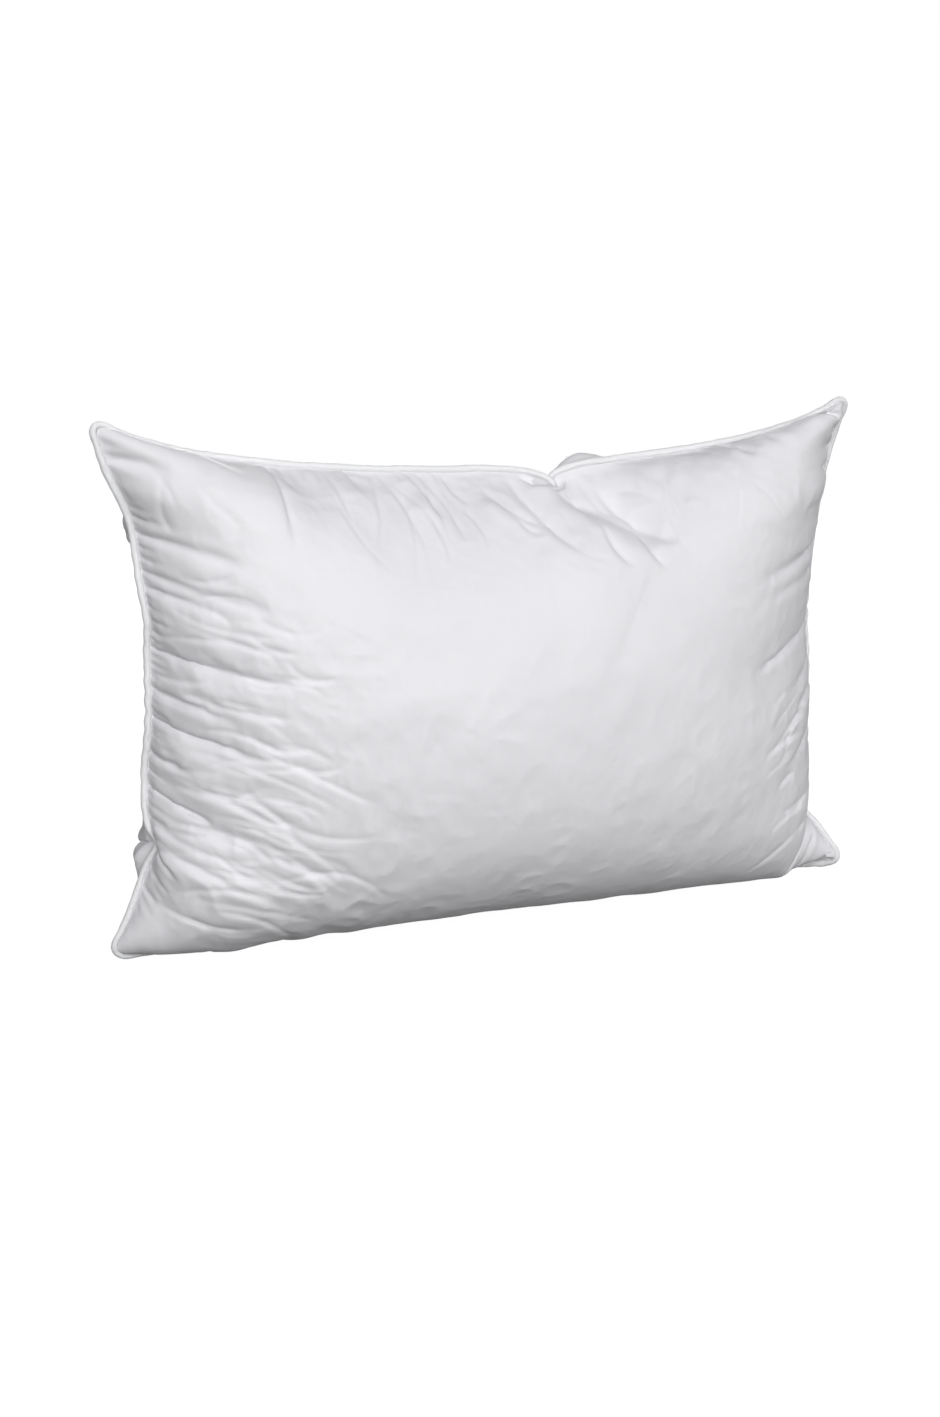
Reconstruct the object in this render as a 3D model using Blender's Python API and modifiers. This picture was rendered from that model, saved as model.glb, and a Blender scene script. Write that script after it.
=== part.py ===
"""Bed pillow, standing on its long edge: two cotton panels, a piped seam and a down filling.

Frame: metres, +Z up, X along the pillow, front panel towards -Y, origin on the floor below its middle.
Every layer of the seam is laid out in a section across it: "out" runs from the seam line away from the
pillow in the XZ plane, "away" runs from the pillow's middle plane along +Y or -Y.
"""

import math

import bpy
import bmesh
from mathutils import Vector

# Driving dimensions
SEAM_LENGTH = 0.684        # between the seam's corners, before they are rounded
SEAM_HEIGHT = 0.442        # from the bottom seam to the top corners
PILLOW_DEPTH = 0.264       # through the belly
SIDE_WAIST = 0.034         # how far each side edge is pulled in between its corners
TOP_SAG = 0.048            # how far the top edge sags between its corners
EAR_SHARPNESS = 2.6        # larger keeps the pull-in even and the corners short
CORNER_RADIUS = 0.016

# Cloth, thread and cord
PANEL_THICKNESS = 0.0008
STRIP_THICKNESS = 0.0004
LABEL_THICKNESS = 0.0004
GAP = 0.0003               # between touching layers
SEAM_ALLOWANCE = 0.009
FOLD_RADIUS = 0.0014       # outside of the fold where a panel turns into the seam
PIPING_RADIUS = 0.0028     # outside of the covered cord
CORD_RADIUS = 0.0017
THREAD_RADIUS = 0.0003
OPENING_LENGTH = 0.150     # filling opening in the bottom edge
LABEL_WIDTH = 0.030
LABEL_DROP = 0.045         # length of label that shows

# Panel grid
COLUMNS = 24
ROWS = 14
END_CROWDING = 0.5         # 0 spaces the grid evenly, 1 crowds it into the corners

# The seam's section
FLANGE_MIDDLE = 0.5 * (GAP + STRIP_THICKNESS)
SLOT = 0.5 * GAP + STRIP_THICKNESS + 2 * GAP + LABEL_THICKNESS
FOLD_MIDDLE = SLOT + FOLD_RADIUS
SEAM_LIFT = FOLD_MIDDLE + FOLD_RADIUS
PIPING_OUT = math.sqrt((PIPING_RADIUS + FOLD_RADIUS + 2 * GAP + LABEL_THICKNESS) ** 2 - FOLD_MIDDLE ** 2)
SEAM_INSET = PIPING_OUT + PIPING_RADIUS
FLOOR_GAP = 0.0004         # piping to floor
SEAM_LOW = SEAM_INSET + FLOOR_GAP
STITCH_OUT = -0.0015       # the stitch line lies just inside the fold

CORNER_CUT = CORNER_RADIUS * (1 - math.sqrt(0.5))
HALF_SEAM = 0.5 * SEAM_LENGTH
SEAM_HIGH = SEAM_LOW + SEAM_HEIGHT
BELLY_DEPTH = 0.5 * PILLOW_DEPTH - SEAM_LIFT

# Upright section of one panel as fractions of belly depth and height: seam on the floor, belly, top seam
BELLY_AT = 0.46            # share of the panel below the belly line
LOWER_CURVE = ((0.0, 0.0), (0.60, -0.04), (1.0, 0.02), (1.0, 0.37))
UPPER_CURVE = ((1.0, 0.37), (1.0, 0.70), (0.50, 0.95), (0.0, 1.0))
SIDE_FULLNESS = 3.2        # larger keeps the belly's depth closer to the side seams
SIDE_ROUNDING = 0.52
EDGE_BLEND = 6             # larger keeps the end columns' even spacing nearer to the side seams
CORNER_BLEND = 40          # larger keeps the rounding of the corners nearer to their tips


def clear_scene():
    for thing in list(bpy.data.objects):
        bpy.data.objects.remove(thing, do_unlink=True)


def make_material(name, colour, roughness, metallic=0.0):
    material = bpy.data.materials.new(name)
    material.use_nodes = True
    shader = material.node_tree.nodes["Principled BSDF"]
    shader.inputs["Base Color"].default_value = (*colour, 1.0)
    shader.inputs["Roughness"].default_value = roughness
    shader.inputs["Metallic"].default_value = metallic
    return material


def add_object(collection, name, data, material):
    piece = bpy.data.objects.new(name, data)
    data.materials.append(material)
    collection.objects.link(piece)
    return piece


def mesh_object(collection, name, bm, material):
    mesh = bpy.data.meshes.new(name)
    bm.to_mesh(mesh)
    bm.free()
    mesh.shade_smooth()
    return add_object(collection, name, mesh, material)


def solidify(piece, thickness, offset):
    modifier = piece.modifiers.new("thickness", "SOLIDIFY")
    modifier.thickness = thickness
    modifier.offset = offset
    modifier.use_even_offset = True


# The pillow's form

def crowd(u):
    """Grid spacing from -1 to 1, closer towards both ends."""
    return (1 - END_CROWDING) * u + END_CROWDING * math.sin(0.5 * math.pi * u)


def column(i, count=COLUMNS):
    return crowd(2 * i / count - 1)


def row(j, count=ROWS):
    return 0.5 + 0.5 * crowd(2 * j / count - 1)


FIRST_ROW = row(1)


def bezier(points, u):
    weights = ((1 - u) ** 3, 3 * u * (1 - u) ** 2, 3 * u * u * (1 - u), u ** 3)
    return tuple(sum(w * p[k] for w, p in zip(weights, points)) for k in (0, 1))


def upright_section(t):
    """Depth and height fractions at share t of the way up a panel."""
    if t < BELLY_AT:
        return bezier(LOWER_CURVE, t / BELLY_AT)
    return bezier(UPPER_CURVE, (t - BELLY_AT) / (1 - BELLY_AT))


def ear(u):
    return 1 - abs(u) ** EAR_SHARPNESS


def panel_point(a, t, side):
    """Outer surface of a panel. a runs -1 to 1 along the pillow, t runs 0 to 1 up it, side is -1 or 1."""
    depth, height = upright_section(t)
    depth = max(depth, 0.0)
    edge = abs(a) ** EDGE_BLEND
    height = max((1 - edge) * height + edge * t, 0.0)
    low = SEAM_LOW * max(edge, 1 - t / FIRST_ROW)
    high = SEAM_HIGH - TOP_SAG * ear(a)
    x = a * (HALF_SEAM - SIDE_WAIST * ear(2 * height - 1))
    z = low + (high - low) * height
    corner = (abs(a) * abs(2 * t - 1)) ** CORNER_BLEND * CORNER_CUT
    x -= math.copysign(corner, a)
    z -= math.copysign(corner, t - 0.5)
    fullness = max(1 - abs(a) ** SIDE_FULLNESS, 0.0) ** SIDE_ROUNDING
    return Vector((x, side * (SEAM_LIFT + BELLY_DEPTH * depth * fullness), z))


def panel_normal(a, t, side):
    step = 0.004
    along = panel_point(min(a + step, 1), t, side) - panel_point(max(a - step, -1), t, side)
    up = panel_point(a, min(t + step, 1), side) - panel_point(a, max(t - step, 0), side)
    return side * up.cross(along).normalized()


def seam_keys():
    """Grid places round the seam, anticlockwise seen from the front, from the middle of the bottom edge."""
    half = COLUMNS // 2
    keys = [(i, 0) for i in range(half, COLUMNS)]
    keys += [(COLUMNS, j) for j in range(ROWS)]
    keys += [(i, ROWS) for i in range(COLUMNS, 0, -1)]
    keys += [(0, j) for j in range(ROWS, 0, -1)]
    keys += [(i, 0) for i in range(half)]
    return keys


def seam_frames():
    """Seam point and mitred outward direction at each grid place round the seam."""
    keys = seam_keys()
    points = []
    for i, j in keys:
        point = panel_point(column(i), row(j), 1)
        points.append(Vector((point.x, 0.0, point.z)))
    frames = {}
    for k, key in enumerate(keys):
        before = (points[k] - points[k - 1]).normalized()
        after = (points[(k + 1) % len(points)] - points[k]).normalized()
        bisector = (before + after).normalized()
        outward = Vector((bisector.z, 0.0, -bisector.x))
        frames[key] = (points[k], outward / max(bisector.dot(after), 0.5))
    return frames


FRAMES = seam_frames()


def seam_place(key, out, away):
    point, outward = FRAMES[key]
    return point + outward * out + Vector((0.0, away, 0.0))


# The pieces

def make_panel(collection, name, side, material):
    """A puffed sheet whose rim folds over into the seam, solidified inwards from its right side."""
    bm = bmesh.new()
    bmesh.ops.create_grid(bm, x_segments=COLUMNS, y_segments=ROWS, size=1.0)
    rim = {}
    for vert in bm.verts:
        i = round((vert.co.x + 1) * 0.5 * COLUMNS)
        j = round((vert.co.y + 1) * 0.5 * ROWS)
        vert.co = panel_point(column(i), row(j), side)
        if i in (0, COLUMNS) or j in (0, ROWS):
            rim[vert] = (i, j)
    fold = ((FOLD_RADIUS, FOLD_MIDDLE), (0.0, SLOT), (-0.5 * SEAM_ALLOWANCE, SLOT), (-SEAM_ALLOWANCE, SLOT))
    edges = [edge for edge in bm.edges if edge.is_boundary]
    for out, away in fold:
        made = bmesh.ops.extrude_edge_only(bm, edges=edges)["geom"]
        edges = [item for item in made if isinstance(item, bmesh.types.BMEdge) and item.is_boundary]
        new_rim = {}
        for vert in {v for edge in edges for v in edge.verts}:
            inner = next(e.other_vert(vert) for e in vert.link_edges if e.other_vert(vert) in rim)
            new_rim[vert] = rim[inner]
            vert.co = seam_place(rim[inner], out, side * away)
        rim = new_rim
    bmesh.ops.recalc_face_normals(bm, faces=bm.faces)
    panel = mesh_object(collection, name, bm, material)
    outward = panel.data.polygons[len(panel.data.polygons) // 2].normal.y * side > 0
    if not outward:
        panel.data.flip_normals()
    solidify(panel, PANEL_THICKNESS, -1)
    return panel


def make_filling(collection, material):
    """The down as one soft mass: a coarse closed cage just inside both panels, subdivided once."""
    columns, rows = COLUMNS // 2, ROWS // 2
    clearance = 0.003
    rim_inset = SEAM_ALLOWANCE + 0.008
    bm = bmesh.new()
    cage = {}
    for side in (-1, 1):
        for i in range(columns + 1):
            for j in range(rows + 1):
                a, t = column(2 * i), row(2 * j)
                on_rim = i in (0, columns) or j in (0, rows)
                if on_rim:
                    place = seam_place((2 * i, 2 * j), -rim_inset, 0.0)
                else:
                    place = panel_point(a, t, side) - panel_normal(a, t, side) * clearance
                if not on_rim or side == -1:
                    cage[i, j, side] = bm.verts.new(place)
                else:
                    cage[i, j, side] = cage[i, j, -1]
        for i in range(columns):
            for j in range(rows):
                corners = ((i, j), (i + 1, j), (i + 1, j + 1), (i, j + 1))
                bm.faces.new([cage[p, q, side] for p, q in corners[::-side]])
    filling = mesh_object(collection, "down_filling", bm, material)
    smooth = filling.modifiers.new("soft", "SUBSURF")
    smooth.levels = 1
    smooth.render_levels = 1
    return filling


def make_piping_cover(collection, material):
    """A bias strip folded round the cord, its two edges side by side as the flange in the seam."""
    wall_middle = PIPING_RADIUS - 0.5 * STRIP_THICKNESS
    sides = 7
    slit = math.radians(20)
    turns = [slit + k * (2 * math.pi - 2 * slit) / (sides - 1) for k in range(sides)]
    section = [(-SEAM_ALLOWANCE, FLANGE_MIDDLE), (0.0, FLANGE_MIDDLE)]
    section += [(PIPING_OUT - wall_middle * math.cos(g), wall_middle * math.sin(g)) for g in turns]
    section += [(0.0, -FLANGE_MIDDLE), (-SEAM_ALLOWANCE, -FLANGE_MIDDLE)]
    bm = bmesh.new()
    loops = [[bm.verts.new(seam_place(key, *place)) for place in section] for key in seam_keys()]
    for k, loop in enumerate(loops):
        following = loops[(k + 1) % len(loops)]
        for m in range(len(section) - 1):
            bm.faces.new((loop[m], loop[m + 1], following[m + 1], following[m]))
    cover = mesh_object(collection, "piping_cover", bm, material)
    solidify(cover, STRIP_THICKNESS, 0)
    return cover


def make_wire(collection, name, points, radius, material):
    curve = bpy.data.curves.new(name, "CURVE")
    curve.dimensions = "3D"
    curve.bevel_depth = radius
    curve.bevel_resolution = 2
    curve.use_fill_caps = True
    spline = curve.splines.new("POLY")
    spline.points.add(len(points) - 1)
    for spot, point in zip(spline.points, points):
        spot.co = (*point, 1.0)
    return add_object(collection, name, curve, material)


def clipped_ends(points, gap):
    """The closed run of points as an open one, whose ends stop short of each other by the gap."""
    first, last = points[0], points[-1]
    start = first + (points[1] - first).normalized() * (0.5 * gap)
    end = first + (last - first).normalized() * (0.5 * gap)
    return [start, *points[1:], end]


def make_seam_thread(collection, name, side, material):
    """One thread of the lockstitch, from one end of the filling opening round to the other."""
    away = side * (SLOT + PANEL_THICKNESS + GAP + THREAD_RADIUS)
    points = [seam_place(key, STITCH_OUT, away) for key in seam_keys()]
    run = [point for point in points if point.z > 0.5 * SEAM_HEIGHT or abs(point.x) > 0.5 * OPENING_LENGTH]
    return make_wire(collection, name, run, THREAD_RADIUS, material)


def make_closing_thread(collection, material):
    """Edge stitching along the filling opening, in the groove between piping and back panel."""
    groove = 0.4           # share of the way from the seam to the panel's first row on the floor
    stitches = 20
    side = 1
    points = []
    for k in range(stitches + 1):
        a = (k / stitches - 0.5) * OPENING_LENGTH / HALF_SEAM
        seam, floor = panel_point(a, 0, side), panel_point(a, FIRST_ROW, side)
        slope = (floor - seam).normalized()
        below = Vector((0.0, slope.z, -slope.y))
        depth = GAP + THREAD_RADIUS * (2 - (k % 2))
        points.append(seam.lerp(floor, groove) + below * depth)
    return make_wire(collection, "closing_thread", points, THREAD_RADIUS, material)


def make_care_label(collection, material):
    """A blank ribbon sewn into the right side seam, turned back over the fold onto the back panel."""
    side = 1
    middle_row = 4
    across = 4
    ride = GAP + 0.5 * LABEL_THICKNESS
    turn = FOLD_RADIUS + ride
    path = [("seam", -0.8 * SEAM_ALLOWANCE, SLOT - ride), ("seam", 0.0, SLOT - ride)]
    path += [("seam", turn * math.sin(g), FOLD_MIDDLE - turn * math.cos(g))
             for g in (math.radians(45), math.radians(90), math.radians(135))]
    path += [("panel", 1 - share * LABEL_DROP / HALF_SEAM, 0.0) for share in (0.12, 0.28, 0.46, 0.64, 0.82, 1.0)]
    height = SEAM_HIGH - SEAM_LOW
    centre = row(middle_row)
    bm = bmesh.new()
    lines = []
    for kind, first, second in path:
        line = []
        for k in range(across + 1):
            t = centre + (k / across - 0.5) * LABEL_WIDTH / height
            if kind == "seam":
                seam = panel_point(1, t, side)
                place = Vector((seam.x + first, second, seam.z))
            else:
                place = panel_point(first, t, side) + panel_normal(first, t, side) * (2 * ride)
            line.append(bm.verts.new(place))
        lines.append(line)
    for line, following in zip(lines, lines[1:]):
        for k in range(across):
            bm.faces.new((line[k], line[k + 1], following[k + 1], following[k]))
    label = mesh_object(collection, "care_label", bm, material)
    solidify(label, LABEL_THICKNESS, 0)
    return label


def build():
    clear_scene()
    pillow = bpy.data.collections.new("bed_pillow")
    bpy.context.scene.collection.children.link(pillow)
    ticking = make_material("ticking", (0.84, 0.84, 0.86), 0.75)
    piping = make_material("piping", (0.88, 0.88, 0.89), 0.70)
    down = make_material("down", (0.90, 0.89, 0.86), 0.95)
    cord = make_material("cord", (0.80, 0.79, 0.76), 0.85)
    thread = make_material("thread", (0.90, 0.90, 0.91), 0.55)
    ribbon = make_material("label", (0.92, 0.92, 0.92), 0.45)
    make_panel(pillow, "front_panel", -1, ticking)
    make_panel(pillow, "back_panel", 1, ticking)
    make_filling(pillow, down)
    make_piping_cover(pillow, piping)
    cord_run = clipped_ends([seam_place(key, PIPING_OUT, 0.0) for key in seam_keys()], 0.001)
    make_wire(pillow, "piping_cord", cord_run, CORD_RADIUS, cord)
    make_seam_thread(pillow, "needle_thread", -1, thread)
    make_seam_thread(pillow, "bobbin_thread", 1, thread)
    make_closing_thread(pillow, thread)
    make_care_label(pillow, ribbon)


build()
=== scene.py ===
"""Looks of the bed pillow: crisp cotton panels pressed out by down inside a corded seam.

Both panels are cut flat, sewn round one seam and pressed out by the filling. Each panel is a grid that
keeps the thread lengths of its flat cut, so the cloth gathers into puckers where the seam runs shorter
than the cut. The frame is the CAD's: metres, +Z up, front towards -Y, the pillow on its long edge.
"""

import math

import bpy
import numpy as np
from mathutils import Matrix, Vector


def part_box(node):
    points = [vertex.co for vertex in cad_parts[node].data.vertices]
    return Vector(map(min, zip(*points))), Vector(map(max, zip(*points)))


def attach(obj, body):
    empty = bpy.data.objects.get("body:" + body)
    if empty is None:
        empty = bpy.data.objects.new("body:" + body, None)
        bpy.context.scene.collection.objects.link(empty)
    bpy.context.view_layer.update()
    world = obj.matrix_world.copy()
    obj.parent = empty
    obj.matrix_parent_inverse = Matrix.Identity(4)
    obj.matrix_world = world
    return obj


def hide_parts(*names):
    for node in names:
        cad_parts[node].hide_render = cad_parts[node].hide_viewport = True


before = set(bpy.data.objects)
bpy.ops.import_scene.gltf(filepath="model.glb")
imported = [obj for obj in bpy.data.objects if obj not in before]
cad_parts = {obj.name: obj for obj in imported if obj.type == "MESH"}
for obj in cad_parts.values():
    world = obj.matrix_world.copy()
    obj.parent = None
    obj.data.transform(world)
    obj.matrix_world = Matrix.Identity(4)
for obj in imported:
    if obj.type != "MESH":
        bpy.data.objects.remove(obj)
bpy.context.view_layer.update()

# Flat cut of one panel, seam to seam
CUT_LENGTH = 0.70
CUT_HEIGHT = 0.50
ALLOWANCE = 0.009               # cloth turned in behind the seam

# Piping
PIPING_RADIUS = 0.0026
PIPING_OUT = 0.0030             # from the seam line to the middle of the piping
FLANGE_HALF = 0.00035
CORD_RADIUS = 0.0016
CORNER_RADIUS = 0.017

# Seam line as the pillow stands. Its corners come from the CAD's piping.
piping_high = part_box("piping_cover")[1]
TIP_INSET = 0.0040              # from the piping's outermost point back to the seam's corner
HALF_LENGTH = piping_high.x - TIP_INSET
CORNER_TOP = piping_high.z - TIP_INSET
SEAM_FLOOR = PIPING_OUT + PIPING_RADIUS + 0.0004
TOP_SAG = 0.034                 # broad sag of the top edge
TOP_EARS = 0.018                # steeper rise in its last few centimetres
BOTTOM_BACK = 0.032             # how far the bottom seam is rolled towards the back
BOTTOM_SKEW = 0.70              # share by which that is less at the left and more at the right
SIDE_WAIST = 0.028
SIDE_EARS = 0.012
EAR_POWER = 8
NEAR_POWER = 6                  # how quickly what shapes one edge fades away from it
RIGHT_EASE = 0.024              # how much less the right side is waisted
RIGHT_BACK = 0.050              # how far the right-hand seam is pushed back
RIGHT_POWER = 4
SEAM_FORWARD = 0.012            # how far the whole seam sits in front of the middle of the depth
NOTCH_PLACE = 0.047             # fold in the top edge, right of its middle
NOTCH_DEPTH = 0.016
NOTCH_WIDTH = 0.020
NOTCH_TURN = 0.010              # the seam runs forward on its left and back on its right
NOTCH_OVERLAP = 0.012           # and the left side laps over the right
NOTCH_FORWARD = 0.010           # and its bottom is pulled forward
NOTCH_POWER = 1.4               # below 2 its bottom is sharper than a bell curve's
NOTCH_SWING = 1.6               # makes the greatest turn and overlap come near the full distances

LEFT, RIGHT = -1, 1
BOTTOM, TOP = -1, 1
FRONT, BACK = -1, 1

CORNER_POWER = 5                # how quickly a corner's shift fades away from it
# Shifts of the corners: side, end, distance to the right, back and up
CORNER_SHIFTS = (
    (RIGHT, TOP, -0.006, 0.000, 0.000),
    (RIGHT, BOTTOM, 0.009, 0.000, 0.010),
)

# Bends of the side seams: side, height, distance inward, distance back, half width
SIDE_BENDS = (
    (LEFT, 0.414, -0.007, 0.000, 0.028),
    (LEFT, 0.360, 0.002, 0.004, 0.030),
    (LEFT, 0.290, 0.002, -0.004, 0.022),
    (LEFT, 0.160, -0.002, 0.005, 0.028),
    (LEFT, 0.100, 0.009, -0.006, 0.015),
    (LEFT, 0.080, 0.005, 0.000, 0.040),
    (RIGHT, 0.370, 0.002, -0.002, 0.030),
    (RIGHT, 0.280, 0.001, 0.000, 0.025),
    (RIGHT, 0.200, -0.001, -0.004, 0.026),
    (RIGHT, 0.080, 0.022, 0.008, 0.030),
)

# Filling
BELLY = 0.100                   # starting bulge of each panel, before the simulation
FULLNESS_PEAK = 0.515           # about the greatest value of the curve that the bulge follows
BELLY_RADIUS = 0.100            # to which the pressed-out cloth is curved, roughly
PRESSURE_RATIO = 14.0           # how much harder the filling presses at the bottom than at the top
MIDDLE_PRESSURE = 0.45          # share of the pressure halfway along, where the down is loosest
END_PRESSURE = 2.2              # and at its ends
STRETCH = 0.006                 # stretch that the pressure may give the cloth
# Hollows where the down has been pushed away: panel, x, z, half length, half height, share of pressure lost
HOLLOWS = (
    (FRONT, 0.120, 0.352, 0.050, 0.030, 0.90),
    (BACK, -0.120, 0.370, 0.080, 0.030, 0.80),
)

SIDE_GATHER = 0.030             # cloth gathered onto the side seams
TOP_GATHER = 0.018              # and onto the long seams
GATHER_PATCH = 0.030            # the gathers come in clusters about this far apart
SIDE_FADE = 0.8, 0.15           # from just below the middle up, the side gathers shrink to the smaller share
TOP_POWER, SIDE_POWER = 8, 6    # how closely the gathers keep to their seams
CLUSTERING = 0.9                # how uneven the gathers are
GATHER_SEED = 3
SLACK = 0.055                   # uneven slackness of the washed cloth, most of it under the top seam
LEFT_SHARE = 0.70               # share of it at the left
TIGHT_SHARE = 0.30              # and elsewhere
SLACK_PATCH = 0.020
SLACK_MARGIN = 0.08             # share of half the panel in which it fades out towards the seam
SLACK_SEED = 4
CORNER_EASE = 0.97              # share by which cloth in the ears gives way instead of puckering
EAR_LENGTH = 0.075              # how far from its tip an ear does so
EAR_EMPTINESS = 0.85            # share of the pressure that is missing there

# Cloth grids, coarse to fine: cells along, cells up, steps, bending, resistance to crushing, start ripples
LEVELS = (
    (64, 46, 600, 0.004, 0.10, 0.0),
    (128, 92, 350, 0.002, 0.50, 0.0010),
    (256, 184, 360, 0.002, 1.0, 0.0008),
)
RIPPLE_LENGTH = 0.030
RIPPLE_HEIGHT = 0.010
RIPPLE_MARGIN = 0.017
RIPPLE_SEED = 11
SPEED_KEPT = 0.98               # share of the cloth's speed that is left after a step
SHEAR = 0.02                    # how well the weave keeps its right angles
SETTLING = 90                   # steps at the end in which the seam gives way to the cloth's pull
SEAM_HOLD = 0.04                # how firmly the seam then keeps to its line
CORD_STIFFNESS = 0.30

# Detail added after the simulation
FINE_COLUMNS, FINE_ROWS = 352, 256
DETAIL_MARGIN = 0.03            # share of half the panel in which the detail fades out towards the seam
# Crumples of the crisp cotton: patch size and height
CRUMPLES = ((0.034, 0.0015), (0.016, 0.0011), (0.008, 0.00040))
CRUMPLE_LEVEL = 0.7             # lowers their ridges, so that they dip about as much as they rise
CRUMPLE_SEED = 30
# Soft bulges: panel, x, z, half length, half height, distance to the right, back and up
PUFFS = (
    (BACK, 0.082, 0.382, 0.031, 0.026, 0.000, 0.010, 0.017),
    (BACK, -0.300, 0.088, 0.030, 0.018, -0.014, 0.004, 0.000),
    (BACK, -0.312, 0.362, 0.024, 0.026, -0.005, 0.002, 0.000),
)
# Sharp creases below the notch, on the front: start x and z, end x and z, half width, depth, bow
CREASES = (
    (0.006, 0.396, 0.052, 0.332, 0.0160, 0.0060, 0.004),
    (0.042, 0.386, 0.124, 0.338, 0.0340, 0.0120, -0.004),
    (0.084, 0.384, 0.142, 0.338, 0.0200, 0.0080, 0.006),
    (0.076, 0.352, 0.096, 0.322, 0.0120, 0.0040, 0.003),
    (0.110, 0.350, 0.128, 0.318, 0.0120, 0.0040, 0.003),
)

# Small random creases: number, place of their middles on the pattern with its spread both ways,
# mean angle and its spread in degrees, and how much longer they are than CREASE_LENGTHS
CREASE_FIELDS = (
    (44, -0.80, 0.09, -0.05, 0.34, -12, 10, 1.1),
    (36, -0.77, 0.09, -0.56, 0.22, -25, 7, 1.7),
    (30, -0.05, 0.50, 0.84, 0.08, -62, 20, 1.0),
    (16, 0.87, 0.04, -0.38, 0.26, 26, 10, 0.9),
)
CREASE_LENGTHS = 0.020, 0.080
CREASE_WIDTHS = 0.0035, 0.0080
CREASE_DEPTH = 0.15             # of the crease's own half width, at least, and up to twice that
CREASE_BOW = 0.35               # of half its length, at most
# Shape of a crease across its run, in half widths
CREASE_RISE = 0.35              # from the valley up to the ridge
VALLEY_WIDTH = 0.45
RIDGE_WIDTH = 1.2
RIDGE_HEIGHT = 0.8
CREASE_SEED = 40
LYING_HEIGHT = 0.030            # the weight on the cloth smooths it below this height

# Sewing
SEAM_STATIONS = 2000
# Fold of a panel's edge at the seam: distance inward from the seam line, and towards the panel's own side
EDGE_FOLD = ((-0.0004, 0.0002), (0.0010, 0.00005), (ALLOWANCE, 0.0001))
PIPING_SIDES = 16
PIPING_WRAP = 160               # degrees that the strip goes round the cord each way
PIPING_SEED = 5
PIPING_LUMPS = ((0.045, 6), (0.030, 40))    # share of the radius, and how smooth
PIPING_TWIST = 0.025            # share of the radius that the strip's bias folds rise
FOLD_PITCH = 0.0327             # from one of those folds to the next, roughly
STITCH_PITCH = 0.0027
STITCH_LENGTH = 0.0021
THREAD_RADIUS = 0.00022
STITCH_ASIDE = 0.0006           # from the middle of the seam to the stitches on its faces
STITCH_RISE = 0.0003
STITCH_POINTS = 5
THREAD_ENDS = 1.08              # above 1 the rounded ends of a stitch keep some thickness
OPENING_LENGTH = 0.150
CLOSING_STITCHES = 20
CLOSING_START = 0.0010          # outside the seam line, beside the piping
CLOSING_REACH = 0.0060          # up the back panel
CLOSING_SLANT = 0.0028
CLOSING_BOW = 0.0012
CLOSING_RISE = 0.0003
LABEL_WIDTH = 0.030
LABEL_DROP = 0.045
LABEL_PLACE = -0.50             # up the right side seam, from -1 to 1
LABEL_THICKNESS = 0.0004
LABEL_START = 0.0006            # from the seam line
LABEL_CELLS = 24, 16
LABEL_SMOOTHING = 40            # passes, since the ribbon bridges the cloth's puckers
LABEL_LIFT = 0.0004, 0.0022     # from the cloth at the seam, and added within LABEL_RISE of it
LABEL_RISE = 0.012
LABEL_CURL = 0.004              # further lift of its free end
FILLING_INSET = 0.012           # from the panels to the down
FILLING_MARGIN = 0.010          # and from the seam
FILLING_STEP = 8                # cells of cloth to one cell of the filling
THREAD_PITCH = 0.00034          # between neighbouring threads of the percale

# Stage: name, place, target, size and watts of each light
LIGHTS = (
    ("key", (-0.6, -2.4, 1.05), (0, 0, 0.2), 2.2, 45),
    ("right", (2.2, -1.2, 0.50), (0.2, 0, 0.25), 0.9, 9),
    ("left", (-2.2, -0.9, 1.50), (-0.3, 0, 0.40), 1.0, 2),
    ("back", (0.7, 2.4, 0.85), (0, 0, 0.2), 1.6, 46),
)
CAMERA_YAW, CAMERA_PITCH = -20.5, 12.5      # degrees
CAMERA_DISTANCE = 1.97
CAMERA_TARGET = (-0.023, -SEAM_FORWARD, 0.192)
CAMERA_LENS = 58.0
FLOOR_HALF = 30.0
FLOOR_DROP = 0.0005             # below the pillow, so that the two never share a plane
FLOOR_SEEN = 0.98               # brightness of the floor for the camera
FLOOR_PALE = 0.10               # and its reflectance for the light that it throws back
WORLD_STRENGTH = 0.49
WORLD_TILT = 15.0               # degrees by which the bright side of the world is raised

whole = slice(None)


# Seam line

def bump(distance, width, power=2.0):
    return np.exp(-np.abs(distance / width) ** power)


def corner_cut(u, v):
    """How far rounding the corners moves each point in from the sides and from the long edges."""
    past = np.clip(1 - CUT_LENGTH / 2 * (1 - np.abs(u)) / CORNER_RADIUS, 0, 1)
    over = np.clip(1 - CUT_HEIGHT / 2 * (1 - np.abs(v)) / CORNER_RADIUS, 0, 1)
    cut_in = past * (1 - np.sqrt(1 - over ** 2 / 2))
    cut_up = over * (1 - np.sqrt(1 - past ** 2 / 2))
    return np.sign(u) * CORNER_RADIUS * cut_in, np.sign(v) * CORNER_RADIUS * cut_up


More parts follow.
